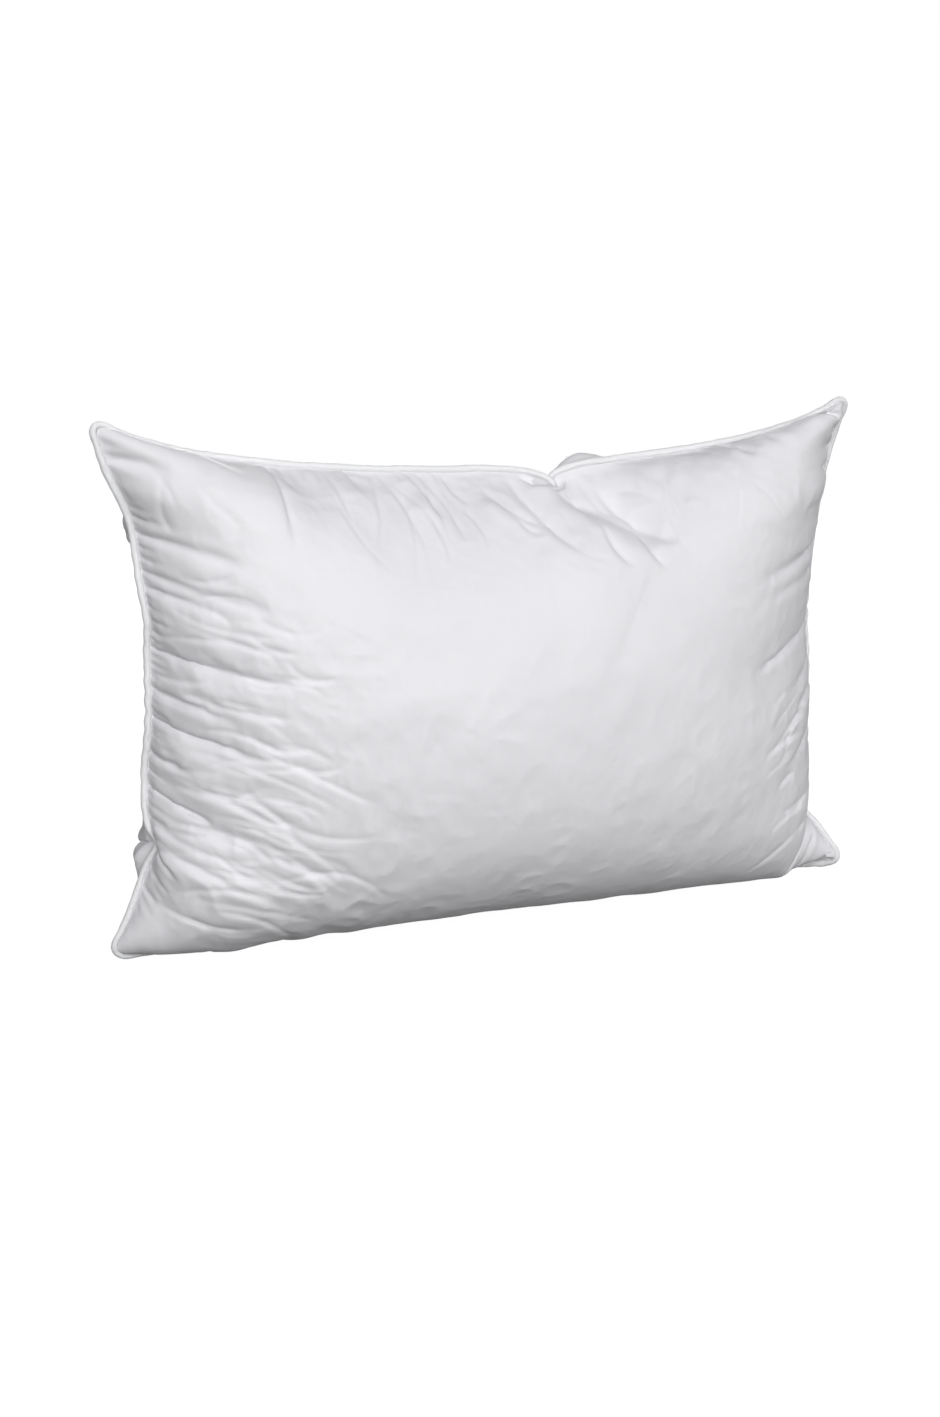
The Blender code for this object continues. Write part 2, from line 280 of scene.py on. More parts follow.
def seam_place(u, v):
    """Points at pattern place (u, v), each -1 to 1, on the sheet that the seam line bounds."""
    along = u * HALF_LENGTH
    ears = np.abs(u) ** EAR_POWER
    near_top = np.clip(v, 0, 1) ** NEAR_POWER
    top = CORNER_TOP - TOP_SAG * (1 - u * u) - TOP_EARS * (1 - ears)
    top = top - NOTCH_DEPTH * bump(along - NOTCH_PLACE, NOTCH_WIDTH, NOTCH_POWER)
    waist = SIDE_WAIST * (1 - v * v) + SIDE_EARS * (1 - np.abs(v) ** EAR_POWER)
    waist = waist - RIGHT_EASE * (1 - v * v) * (u > 0)
    cut_in, cut_up = corner_cut(u, v)
    x = u * (HALF_LENGTH - waist) - cut_in
    z = SEAM_FLOOR + (top - SEAM_FLOOR) * (v + 1) / 2 - cut_up
    y = RIGHT_BACK * np.clip(u, 0, 1) ** RIGHT_POWER * (1 - v * v) - SEAM_FORWARD
    y = y + BOTTOM_BACK * (1 + BOTTOM_SKEW * u) * (1 - ears) * (1 - v) / 2
    turn = (along - NOTCH_PLACE) / NOTCH_WIDTH
    swing = NOTCH_SWING * turn * bump(turn, 1.0) * near_top
    x = x - NOTCH_OVERLAP * swing
    y = y + NOTCH_TURN * swing - NOTCH_FORWARD * bump(turn, 1.0) * near_top
    for side, height, inward, back, width in SIDE_BENDS:
        share = bump(z - height, width) * np.clip(side * u, 0, 1) ** NEAR_POWER
        x = x - side * inward * share
        y = y + back * share
    for side, end, right, back, up in CORNER_SHIFTS:
        share = np.clip(side * u, 0, 1) ** CORNER_POWER * np.clip(end * v, 0, 1) ** CORNER_POWER
        x, y, z = x + right * share, y + back * share, z + up * share
    return np.stack([x, y, z], -1)


def pattern(columns, rows):
    return np.meshgrid(np.linspace(-1, 1, columns + 1), np.linspace(-1, 1, rows + 1), indexing="ij")


def rim_path(columns, rows):
    """Grid places round the rim, anticlockwise seen from the front, from the lower left corner."""
    right, up = np.arange(columns), np.arange(rows)
    i = np.concatenate([right, np.full(rows, columns), columns - right, np.zeros(rows, int)])
    j = np.concatenate([np.zeros(columns, int), up, np.full(columns, rows), rows - up])
    return i, j


# Cloth simulation. A cloth is an array: columns, rows, front and back panel, xyz.

def project(cloth, weight, rest, crush, first, second, stiffness):
    """Moves each pair of neighbours back towards its rest distance, by crush if it is too close."""
    a, b = cloth[first], cloth[second]
    apart = b - a
    length = np.sqrt(np.einsum("...k,...k->...", apart, apart)) + np.float32(1e-9)
    share = np.maximum(weight[first] + weight[second], np.float32(1e-9))
    excess = length - rest
    excess = np.where(excess < 0, crush[first] * excess, excess)
    apart *= (stiffness * excess / (length * share))[..., None]
    cloth[first] = a + apart * weight[first][..., None]
    cloth[second] = b - apart * weight[second][..., None]


def bend_back(cloth, weight, bending):
    """Evens out curvature along both threads, as the cloth's own stiffness does."""
    for axis in (0, 1):
        lines = np.moveaxis(cloth, axis, 0)
        sag = 0.5 * (lines[:-2] + lines[2:]) - lines[1:-1]
        change = np.zeros_like(lines)
        change[1:-1] += sag
        change[:-2] -= 0.5 * sag
        change[2:] -= 0.5 * sag
        cloth += np.float32(bending) * np.moveaxis(change, 0, axis) * weight[..., None]


def cut_place(u, v):
    """Places on the flat cut, in metres."""
    cut_in, cut_up = corner_cut(u, v)
    return np.stack([u * CUT_LENGTH / 2 - cut_in, v * CUT_HEIGHT / 2 - cut_up], -1)


def unevenness(seed, patch, columns, rows):
    """Smooth random values of spread 1 on both panels, in patches of the given size."""
    rng = np.random.default_rng(seed)
    coarse = (round(CUT_LENGTH / patch), round(CUT_HEIGHT / patch), 2)
    return interpolate(rng.normal(size=coarse), columns, rows)


def thread_lengths(columns, rows):
    """Rest distances along the warp, the weft and the two diagonals."""
    u, v = pattern(columns, rows)
    flat = cut_place(u, v)
    clusters = np.clip(1 + CLUSTERING * unevenness(GATHER_SEED, GATHER_PATCH, columns, rows), 0, None)
    clusters = clusters * (1 - ear(u, v))[..., None]
    uneven = unevenness(SLACK_SEED, SLACK_PATCH, columns, rows)
    slack = 1 + SLACK * uneven * fade(u, v, SLACK_MARGIN) * looseness(u, v)
    start, least = SIDE_FADE
    top_slack = slack + TOP_GATHER * (v ** TOP_POWER)[..., None] * clusters
    side_slack = slack + SIDE_GATHER * (u ** SIDE_POWER * np.clip(start - v, least, 1))[..., None] * clusters
    along = np.linalg.norm(flat[1:] - flat[:-1], axis=-1)[..., None] * top_slack[1:]
    up = np.linalg.norm(flat[:, 1:] - flat[:, :-1], axis=-1)[..., None] * side_slack[:, 1:]
    rising = np.linalg.norm(flat[1:, 1:] - flat[:-1, :-1], axis=-1)[..., None]
    falling = np.linalg.norm(flat[1:, :-1] - flat[:-1, 1:], axis=-1)[..., None]
    return [lengths.astype(np.float32) for lengths in (along, up, rising, falling)]


def looseness(u, v):
    """Share of the slackness: all of it under the top seam, most at the left, little on the tight belly."""
    left = LEFT_SHARE * np.clip(-1.2 * u, 0, 1) * np.clip(1.6 + v, 0, 1) * np.clip(1.3 - 2 * v, 0, 1)
    top = np.clip(v, 0, 1) ** 4
    return (TIGHT_SHARE + (1 - TIGHT_SHARE) * np.maximum(left, top))[..., None]


def fade(u, v, width):
    """0 at the rim to 1 further in than width, a share of half the panel."""
    return (np.clip((1 - np.abs(u)) / width, 0, 1) * np.clip((1 - np.abs(v)) / width, 0, 1))[..., None]


def ear(u, v):
    """1 at the tip of each ear, falling to 0 inside the pillow."""
    return bump(np.hypot((1 - np.abs(u)) * CUT_LENGTH / 2, (1 - np.abs(v)) * CUT_HEIGHT / 2), EAR_LENGTH)


def crush_resistance(columns, rows, crush):
    """Less in the ears, whose cloth is drawn in smoothly by the seam."""
    u, v = pattern(columns, rows)
    return (crush * (1 - CORNER_EASE * ear(u, v)))[..., None].astype(np.float32)


def outward_area(cloth):
    """The outward normal at each point, as long as the area that belongs to it."""
    along, up = np.zeros_like(cloth), np.zeros_like(cloth)
    along[1:-1] = cloth[2:] - cloth[:-2]
    up[:, 1:-1] = cloth[:, 2:] - cloth[:, :-2]
    area = np.cross(along, up) / 4
    area[:, :, 1] *= -1
    return area


def crease_height(grid, x, z, far_x, far_z, half_width, depth, bow=0.0):
    """A sharp valley along a run that may bow to one side, with a softer ridge beside it."""
    run = np.array([far_x - x, far_z - z])
    length = np.hypot(*run)
    offset = grid[..., [0, 2]] - np.array([x, z])
    along = offset @ run / length ** 2
    aside = (offset[..., 0] * run[1] - offset[..., 1] * run[0]) / length
    aside = (aside - bow * (1 - (2 * along - 1) ** 2)) / half_width
    taper = np.clip(1 - np.abs(2 * along - 1) ** 3, 0, 1)
    ridge = RIDGE_HEIGHT * aside * np.exp(-aside / RIDGE_WIDTH) - np.exp(-(aside / CREASE_RISE) ** 2)
    return depth * taper * np.where(aside > 0, ridge, -np.exp(aside / VALLEY_WIDTH))


def small_creases(rng):
    creases = []
    for count, u, u_spread, v, v_spread, angle, angle_spread, stretch in CREASE_FIELDS:
        for _ in range(count):
            place = np.clip([rng.normal(u, u_spread), rng.normal(v, v_spread)], -0.97, 0.97)
            x, _, z = seam_place(*place)
            turn = math.radians(rng.normal(angle, angle_spread))
            reach = 0.5 * stretch * rng.uniform(*CREASE_LENGTHS)
            half_width = rng.uniform(*CREASE_WIDTHS)
            depth = half_width * rng.uniform(CREASE_DEPTH, 2 * CREASE_DEPTH)
            right, up = reach * math.cos(turn), reach * math.sin(turn)
            bow = reach * rng.uniform(-CREASE_BOW, CREASE_BOW)
            creases.append((x - right, z - up, x + right, z + up, half_width, depth, bow))
    return creases


def unit(vectors):
    return vectors / np.linalg.norm(vectors, axis=-1, keepdims=True)


def outward_normal(grid, side):
    """Unit normals of one panel's grid, out of the pillow."""
    return -side * unit(np.cross(np.gradient(grid, axis=0), np.gradient(grid, axis=1)))


def filling_pressure(columns, rows):
    """Share of the full pressure at each point of both panels' patterns."""
    u, v = pattern(columns, rows)
    place = seam_place(u, v)
    middle = MIDDLE_PRESSURE + (END_PRESSURE - MIDDLE_PRESSURE) * np.abs(u) ** 3
    middle = middle * (1 - EAR_EMPTINESS * ear(u, v))
    share = np.repeat(middle[..., None], 2, axis=2).astype(np.float32)
    for side, x, z, half_length, half_height, lost in HOLLOWS:
        spread = bump(place[..., 0] - x, half_length) * bump(place[..., 2] - z, half_height)
        share[..., 0 if side == FRONT else 1] *= 1 - lost * spread
    return share


def relax(cloth, steps, bending, crush, hold=1.0):
    """Presses the panels out against their threads until they settle. The seam keeps to its line by hold."""
    columns, rows = cloth.shape[0] - 1, cloth.shape[1] - 1
    rim = rim_path(columns, rows)
    weight = np.ones((columns + 1, rows + 1, 1), np.float32)
    line = seam_place(*pattern(columns, rows))[rim].astype(np.float32)
    if hold == 1.0:
        weight[rim] = 0
    along, up, rising, falling = thread_lengths(columns, rows)
    resist = crush_resistance(columns, rows, crush)
    cell_length, cell_height = CUT_LENGTH / columns, CUT_HEIGHT / rows
    sag = STRETCH * cell_height / cell_length / (2 * BELLY_RADIUS)
    push = np.float32(sag) * filling_pressure(columns, rows)[..., None]
    kept = np.float32(SPEED_KEPT)
    speed = np.zeros_like(cloth)
    for _ in range(steps):
        depth = 1 + (PRESSURE_RATIO - 1) * (1 - cloth[..., 2:] / np.float32(CORNER_TOP))
        moved = cloth + (speed * kept + outward_area(cloth) * depth * push) * weight[..., None]
        moved = moved.astype(np.float32)
        for odd in (0, 1):
            a, b = slice(odd, columns, 2), slice(odd + 1, columns + 1, 2)
            low, high = slice(0, -1), slice(1, None)
            project(moved, weight, along[a], resist, (a, whole), (b, whole), 1.0)
            project(moved, weight, rising[a], resist, (a, low), (b, high), SHEAR)
            project(moved, weight, falling[a], resist, (a, high), (b, low), SHEAR)
            a, b = slice(odd, rows, 2), slice(odd + 1, rows + 1, 2)
            project(moved, weight, up[:, a], resist, (whole, a), (whole, b), 1.0)
        bend_back(moved, weight, bending)
        if hold < 1.0:
            seam = moved[rim].mean(axis=1)
            bend = 0.5 * (np.roll(seam, 1, 0) + np.roll(seam, -1, 0)) - seam
            seam -= CORD_STIFFNESS * (0.5 * (np.roll(bend, 1, 0) + np.roll(bend, -1, 0)) - bend)
            seam += hold * (line - seam)
            moved[rim] = seam[:, None]
        np.maximum(moved[..., 2], 0.0, out=moved[..., 2])
        speed = moved - cloth
        cloth = moved
    return cloth


def interpolate(values, columns, rows):
    """The same values on a finer grid, by cubic interpolation along both threads."""
    for axis, count in ((0, columns), (1, rows)):
        lines = np.moveaxis(values, axis, 0)
        last = len(lines) - 1
        place = np.linspace(0, last, count + 1)
        cell = np.clip(np.floor(place).astype(int), 0, last - 1)
        f = (place - cell).reshape((-1,) + (1,) * (lines.ndim - 1))
        a, b, c, d = (lines[np.clip(cell + k, 0, last)] for k in (-1, 0, 1, 2))
        fine = b + 0.5 * f * (c - a + f * (2 * a - 5 * b + 4 * c - d + f * (3 * (b - c) + d - a)))
        values = np.moveaxis(fine, 0, axis)
    return values


def refine(cloth, columns, rows):
    """The same surface on a finer grid, with its rim back on the seam line."""
    cloth = np.ascontiguousarray(interpolate(cloth, columns, rows), np.float32)
    rim = rim_path(columns, rows)
    cloth[rim] = seam_place(*pattern(columns, rows))[rim][:, None]
    return cloth


def ripples(rng, columns, rows):
    """Random ripples, long along the pillow and short up it, that fade out at the rim."""
    coarse = (round(CUT_LENGTH / RIPPLE_LENGTH), round(CUT_HEIGHT / RIPPLE_HEIGHT), 2)
    return interpolate(rng.normal(size=coarse), columns, rows) * fade(*pattern(columns, rows), RIPPLE_MARGIN)


def simulate_panels():
    rng = np.random.default_rng(RIPPLE_SEED)
    levels = LEVELS
    columns, rows = levels[0][:2]
    u, v = pattern(columns, rows)
    cloth = np.repeat(seam_place(u, v)[:, :, None], 2, axis=2).astype(np.float32)
    up = (v + 1) / 2
    fullness = np.clip(1 - np.abs(u) ** 3, 0, 1) ** 0.6 * up ** 0.42 * (1 - up) ** 0.6 / FULLNESS_PEAK
    cloth[..., 1] += BELLY * fullness[..., None] * np.array([FRONT, BACK])
    for columns, rows, steps, bending, crush, ripple in levels:
        if cloth.shape[0] != columns + 1:
            cloth = refine(cloth, columns, rows)
            cloth[..., 1] += ripple * ripples(rng, columns, rows)
        cloth = relax(cloth, steps, bending, crush)
    cloth = relax(cloth, SETTLING, bending, crush, SEAM_HOLD).astype(np.float64)
    return finish_surface(interpolate(cloth, FINE_COLUMNS, FINE_ROWS))


def finish_surface(cloth):
    """Adds the soft bulges, the sharp creases and the crumples that are too fine for the simulation."""
    columns, rows = cloth.shape[0] - 1, cloth.shape[1] - 1
    u, v = pattern(columns, rows)
    inner = fade(u, v, DETAIL_MARGIN)
    calm = inner * (1 - ear(u, v))[..., None] * np.clip(cloth[..., 2] / LYING_HEIGHT, 0, 1)
    for side, x, z, half_length, half_height, *shift in PUFFS:
        panel = cloth[:, :, 0 if side == FRONT else 1]
        share = bump(panel[..., 0] - x, half_length) * bump(panel[..., 2] - z, half_height)
        panel += share[..., None] * inner * np.array(shift)
    normal = np.stack([outward_normal(cloth[:, :, 0], FRONT), outward_normal(cloth[:, :, 1], BACK)], 2)
    for crease in CREASES:
        cloth[:, :, 0] += crease_height(cloth[:, :, 0], *crease)[..., None] * inner * normal[:, :, 0]
    rng = np.random.default_rng(CREASE_SEED)
    for panel in (0, 1):
        for crease in small_creases(rng):
            height = crease_height(cloth[:, :, panel], *crease) * calm[:, :, panel]
            cloth[:, :, panel] += height[..., None] * normal[:, :, panel]
    for k, (patch, height) in enumerate(CRUMPLES):
        ridges = CRUMPLE_LEVEL - np.abs(unevenness(CRUMPLE_SEED + k, patch, columns, rows))
        cloth += (height * ridges * calm * looseness(u, v))[..., None] * normal
    return cloth


# Mesh building

def make_object(name, vertices, faces, material):
    mesh = bpy.data.meshes.new(name)
    mesh.from_pydata(np.reshape(vertices, (-1, 3)).tolist(), [], faces)
    mesh.materials.append(material)
    mesh.shade_smooth()
    piece = bpy.data.objects.new(name, mesh)
    bpy.context.scene.collection.objects.link(piece)
    return piece


def store_cut(piece, places):
    """Each point's place on the flat cut, in metres, which the weave follows."""
    layer = piece.data.attributes.new("cut", "FLOAT_VECTOR", "POINT")
    flat = np.zeros((len(piece.data.vertices), 3), np.float32)
    flat[:, :2] = np.reshape(places, (-1, 2))
    layer.data.foreach_set("vector", flat.ravel())


def line_frames(line):
    """Unit tangent, outward and across directions at each point of the seam, given anticlockwise."""
    tangent = unit(np.roll(line, -1, axis=0) - np.roll(line, 1, axis=0))
    outward = unit(np.cross(tangent, np.array([0.0, -1.0, 0.0])))
    return tangent, outward, np.cross(outward, tangent)


def grid_faces(columns, rows):
    index = np.arange((columns + 1) * (rows + 1)).reshape(columns + 1, rows + 1)
    corners = [index[:-1, :-1], index[1:, :-1], index[1:, 1:], index[:-1, 1:]]
    return np.stack(corners, -1).reshape(-1, 4).tolist()


def ring_faces(rings, sides, closed=False):
    """Faces between neighbouring rings of a tube, whose points go round it ring by ring."""
    index = np.arange(rings * sides).reshape(rings, sides)
    ahead = np.roll(index, -1, 0)
    if not closed:
        index, ahead = index[:-1], ahead[:-1]
    corners = [index, np.roll(index, -1, 1), np.roll(ahead, -1, 1), ahead]
    return np.stack(corners, -1).reshape(-1, 4)


def make_panel(name, grid, side, material):
    """The panel's grid, and round it the allowance that turns in at the seam."""
    columns, rows = grid.shape[0] - 1, grid.shape[1] - 1
    i, j = rim_path(columns, rows)
    line = grid[i, j]
    _, outward, across = line_frames(line)
    away = side * across * np.sign(across[:, 1:2])
    rings = [line - outward * inward + away * aside for inward, aside in EDGE_FOLD]
    faces = grid_faces(columns, rows)
    base, count = (columns + 1) * (rows + 1), len(i)
    ids = [i * (rows + 1) + j] + [base + r * count + np.arange(count) for r in range(len(rings))]
    for inner, outer in zip(ids, ids[1:]):
        faces += np.stack([inner, outer, np.roll(outer, -1), np.roll(inner, -1)], -1).tolist()
    if side == BACK:
        faces = [face[::-1] for face in faces]
    piece = make_object(name, np.vstack([grid.reshape(-1, 3), *rings]), faces, material)
    flat = cut_place(*pattern(columns, rows))
    edge = flat[i, j]
    store_cut(piece, np.vstack([flat.reshape(-1, 2), edge, edge, edge]))
    return piece


def even_line(line, count):
    """The closed line resampled at evenly spaced points, and its length."""
    closed = np.vstack([line, line[:1]])
    along = np.concatenate([[0], np.cumsum(np.linalg.norm(np.diff(closed, axis=0), axis=1))])
    at = np.linspace(0, along[-1], count, endpoint=False)
    even = np.stack([np.interp(at, along, closed[:, k]) for k in range(3)], -1)
    for _ in range(3):
        even = (np.roll(even, 1, 0) + 2 * even + np.roll(even, -1, 0)) / 4
    return even, along[-1]


def smooth_noise(rng, shape, passes):
    """Random values of spread 1 on a ring of stations and sides, smoothed along both."""
    values = rng.normal(size=shape)
    for _ in range(passes):
        for axis in (0, 1):
            values = (np.roll(values, 1, axis) + values + np.roll(values, -1, axis)) / 3
    return values / values.std()


def make_piping(line, length, material):
    """A bias strip pulled round a cord and sewn beside it, slightly uneven, with its flange in the seam."""
    stations, sides = len(line), PIPING_SIDES
    _, outward, across = line_frames(line)
    rng = np.random.default_rng(PIPING_SEED)
    turn = np.radians(np.linspace(-PIPING_WRAP, PIPING_WRAP, sides))
    station = np.arange(stations) * length / stations
    lumps = sum(size * smooth_noise(rng, (stations, sides), passes) for size, passes in PIPING_LUMPS)
    wander = 2.0 * smooth_noise(rng, (stations, 1), 60)
    folds = 2 * math.pi * round(length / FOLD_PITCH) / length
    twist = PIPING_TWIST * np.sin(station[:, None] * folds + 1.6 * turn + wander)
    radius = PIPING_RADIUS * (1 + lumps + twist)
    out = radius * np.cos(turn)
    aside = radius * np.sin(turn)
    neck = PIPING_OUT - 0.0002
    tail = PIPING_OUT + ALLOWANCE
    flange = np.array([[-neck, 1], [-tail, 1], [-tail, -1], [-neck, -1]]) * [1, FLANGE_HALF]
    out = np.hstack([out, np.tile(flange[:, 0], (stations, 1))])
    aside = np.hstack([aside, np.tile(flange[:, 1], (stations, 1))])
    middle = line + outward * PIPING_OUT
    points = middle[:, None] + out[..., None] * outward[:, None] + aside[..., None] * across[:, None]
    count = sides + len(flange)
    faces = ring_faces(stations, count, closed=True).tolist()
    piece = make_object("piping", points, faces, material)
    round_it = np.concatenate([turn * PIPING_RADIUS, np.linspace(1, 2, len(flange)) * ALLOWANCE])
    s, t = np.broadcast_arrays(station[:, None], round_it[None])
    store_cut(piece, np.stack([s + t, s - t], -1) / math.sqrt(2))
    return piece


def tube_points(paths, reference, radii, sides):
    """Rings of points round each path: runs, stations, sides, xyz. The references lie across the paths."""
    tangent = np.gradient(paths, axis=1)
    beside = unit(np.cross(tangent, reference))
    above = unit(np.cross(beside, tangent))
    turn = np.linspace(0, 2 * math.pi, sides, endpoint=False)[:, None]
    ring = np.cos(turn) * beside[:, :, None] + np.sin(turn) * above[:, :, None]
    return paths[:, :, None] + radii[..., None, None] * ring


def make_threads(name, paths, reference, material, sides=6):
    """Separate stitches, each a short thread with rounded ends."""
    runs, stations = paths.shape[:2]
    place = np.linspace(-1, 1, stations)
    radii = np.tile(THREAD_RADIUS * np.sqrt(THREAD_ENDS - place ** 2), (runs, 1))
    points = tube_points(paths, reference, radii, sides)
    one = ring_faces(stations, sides)
    starts = np.arange(runs) * stations * sides
    faces = (one[None] + starts[:, None, None]).reshape(-1, 4).tolist()
    first = np.arange(sides)[::-1]
    last = (stations - 1) * sides + np.arange(sides)
    faces += (starts[:, None] + first).tolist() + (starts[:, None] + last).tolist()
    piece = make_object(name, points, faces, material)
    along = np.broadcast_to((place * STITCH_LENGTH / 2)[None, :, None], (runs, stations, sides))
    round_it = np.broadcast_to(np.arange(sides) * 2 * math.pi * THREAD_RADIUS / sides, along.shape)
    store_cut(piece, np.stack([along, round_it], -1))
    return piece


def make_cord(line, length, material, sides=8):
    """The cord inside the piping, a closed ring round the pillow."""
    _, outward, across = line_frames(line)
    stations = len(line)
    turn = np.linspace(0, 2 * math.pi, sides, endpoint=False)[:, None]
    ring = np.cos(turn) * outward[:, None] + np.sin(turn) * across[:, None]
    points = (line + outward * PIPING_OUT)[:, None] + CORD_RADIUS * ring
    faces = ring_faces(stations, sides, closed=True).tolist()
    piece = make_object("cord_core", points, faces, material)
    along = np.broadcast_to((np.arange(stations) * length / stations)[:, None], (stations, sides))
    round_it = np.broadcast_to(turn[:, 0] * CORD_RADIUS, along.shape)
    store_cut(piece, np.stack([along, round_it], -1))
    return piece


def along_line(values, places):
    """Values given at even stations of the closed line, read at places from 0 to 1 round it."""
    stations = np.linspace(0, 1, len(values) + 1)
    closed = np.vstack([values, values[:1]])
    return np.stack([np.interp(places % 1.0, stations, closed[:, k]) for k in range(3)], -1)


def make_seam_stitches(name, line, length, side, material):
    """One face of the lockstitch round the seam: short stitches that dip into the cloth at both ends."""
    _, _, across = line_frames(line)
    across = across * np.sign(across[:, 1:2])
    count = round(length / STITCH_PITCH)
    share = np.linspace(-0.5, 0.5, STITCH_POINTS)
    places = (np.arange(count)[:, None] * STITCH_PITCH + share * STITCH_LENGTH) / length
    rise = STITCH_ASIDE + STITCH_RISE * (1 - (2 * share) ** 2)
    across_there = along_line(across, places)
    paths = along_line(line, places) + side * rise[:, None] * across_there
    return make_threads(name, paths, across_there, material)


def make_closing_stitches(grid, line, material):
    """Slanted hand stitches that close the filling opening, from the piping to the back panel."""
    _, outward, across = line_frames(line)
    across = across * np.sign(across[:, 1:2])
    on_bottom = (line[:, 2] < 0.5 * CORNER_TOP) & (np.abs(line[:, 0]) < 0.5 * OPENING_LENGTH)
    spots = np.nonzero(on_bottom)[0]
    spots = spots[np.linspace(0, len(spots) - 1, CLOSING_STITCHES).astype(int)]
    start = line[spots] + CLOSING_START * (outward[spots] + across[spots])
    end_u = (line[spots, 0] + CLOSING_SLANT) / HALF_LENGTH
    end_v = np.full(CLOSING_STITCHES, -1 + CLOSING_REACH / (CUT_HEIGHT / 2))
    end = sample(grid, end_u, end_v) + CLOSING_RISE * sample(outward_normal(grid, BACK), end_u, end_v)
    share = np.linspace(0, 1, STITCH_POINTS)[:, None]
    bow = CLOSING_BOW * np.sin(math.pi * share) * across[spots][:, None]
    paths = start[:, None] * (1 - share) + end[:, None] * share + bow
    reference = np.broadcast_to(across[spots][:, None], paths.shape)
    return make_threads("closing_stitches", paths, reference, material)


def sample(grid, u, v):
    """Values of a grid at pattern places, interpolated."""
    columns, rows = grid.shape[0] - 1, grid.shape[1] - 1
    i, j = (u + 1) / 2 * columns, (v + 1) / 2 * rows
    a, b = np.clip(i.astype(int), 0, columns - 1), np.clip(j.astype(int), 0, rows - 1)
    f, g = (i - a)[..., None], (j - b)[..., None]
    low = grid[a, b] * (1 - f) + grid[a + 1, b] * f
    high = grid[a, b + 1] * (1 - f) + grid[a + 1, b + 1] * f
    return low * (1 - g) + high * g


def make_label(grid, material):
    """A blank ribbon sewn into the right side seam that lies back on the back panel, its free end lifted."""
    cells_long, cells_wide = LABEL_CELLS
    reach = np.linspace(LABEL_START, LABEL_DROP, cells_long + 1)
    wide = np.linspace(-0.5, 0.5, cells_wide + 1) * LABEL_WIDTH
    s, t = np.meshgrid(reach, wide, indexing="ij")
    u, v = 1 - s / (CUT_LENGTH / 2), LABEL_PLACE + t / (CUT_HEIGHT / 2)
    least, more = LABEL_LIFT
    lift = least + more * np.clip(s / LABEL_RISE, 0, 1) + LABEL_CURL * (s / LABEL_DROP) ** 4
    points = sample(grid, u, v)
    normal = sample(outward_normal(grid, BACK), u, v)
    for _ in range(LABEL_SMOOTHING):
        for values in (points, normal):
            values[1:-1, :] += 0.25 * (values[:-2, :] - 2 * values[1:-1, :] + values[2:, :])
            values[:, 1:-1] += 0.25 * (values[:, :-2] - 2 * values[:, 1:-1] + values[:, 2:])
    points += lift[..., None] * normal / np.linalg.norm(normal, axis=-1, keepdims=True)
    label = make_object("label_ribbon", points, grid_faces(cells_long, cells_wide), material)
    store_cut(label, np.stack([s, t], -1))
    thickness = label.modifiers.new("thickness", "SOLIDIFY")
    thickness.thickness = LABEL_THICKNESS
    thickness.offset = 0
    return label


def make_filling(cloth, material):
    """The down as one soft mass just inside both panels."""
    step = FILLING_STEP
    columns, rows = (cloth.shape[0] - 1) // step, (cloth.shape[1] - 1) // step
    grids = []
    for k, side in enumerate((FRONT, BACK)):
        grid = cloth[::step, ::step, k].copy()
        for _ in range(2):
            grid[1:-1, 1:-1] = (grid[:-2, 1:-1] + grid[2:, 1:-1] + grid[1:-1, :-2] + grid[1:-1, 2:]) / 4
        grids.append(grid - FILLING_INSET * outward_normal(grid, side))
    rim = rim_path(columns, rows)
    middle = 0.5 * (grids[0] + grids[1])
    inward = middle[rim] - middle.reshape(-1, 3).mean(0)
    inward[:, 1] = 0
    edge = cloth[::step, ::step, 0][rim] - FILLING_MARGIN * unit(inward)
    for grid in grids:
        grid[rim] = edge
    front_faces = grid_faces(columns, rows)
    count = (columns + 1) * (rows + 1)
    index = np.arange(count).reshape(columns + 1, rows + 1) + count
    index[rim] -= count
    back_index = index.ravel()
    back_faces = [[int(back_index[k]) for k in face[::-1]] for face in front_faces]
    points = np.vstack([grids[0].reshape(-1, 3), grids[1].reshape(-1, 3)])
    used = sorted({k for face in front_faces + back_faces for k in face})
    renumber = {k: n for n, k in enumerate(used)}
    faces = [[renumber[k] for k in face] for face in front_faces + back_faces]
    filling = make_object("down_mass", points[used], faces, material)
    smooth = filling.modifiers.new("soft", "SUBSURF")
    smooth.levels = 1
    smooth.render_levels = 1
    return filling


# Materials

def set_ramp(node, *stops):
    """Gives a colour ramp its two stops, each a position and a colour."""
    for element, (position, colour) in zip(node.color_ramp.elements, stops):
        element.position = position
        element.color = (*colour, 1)


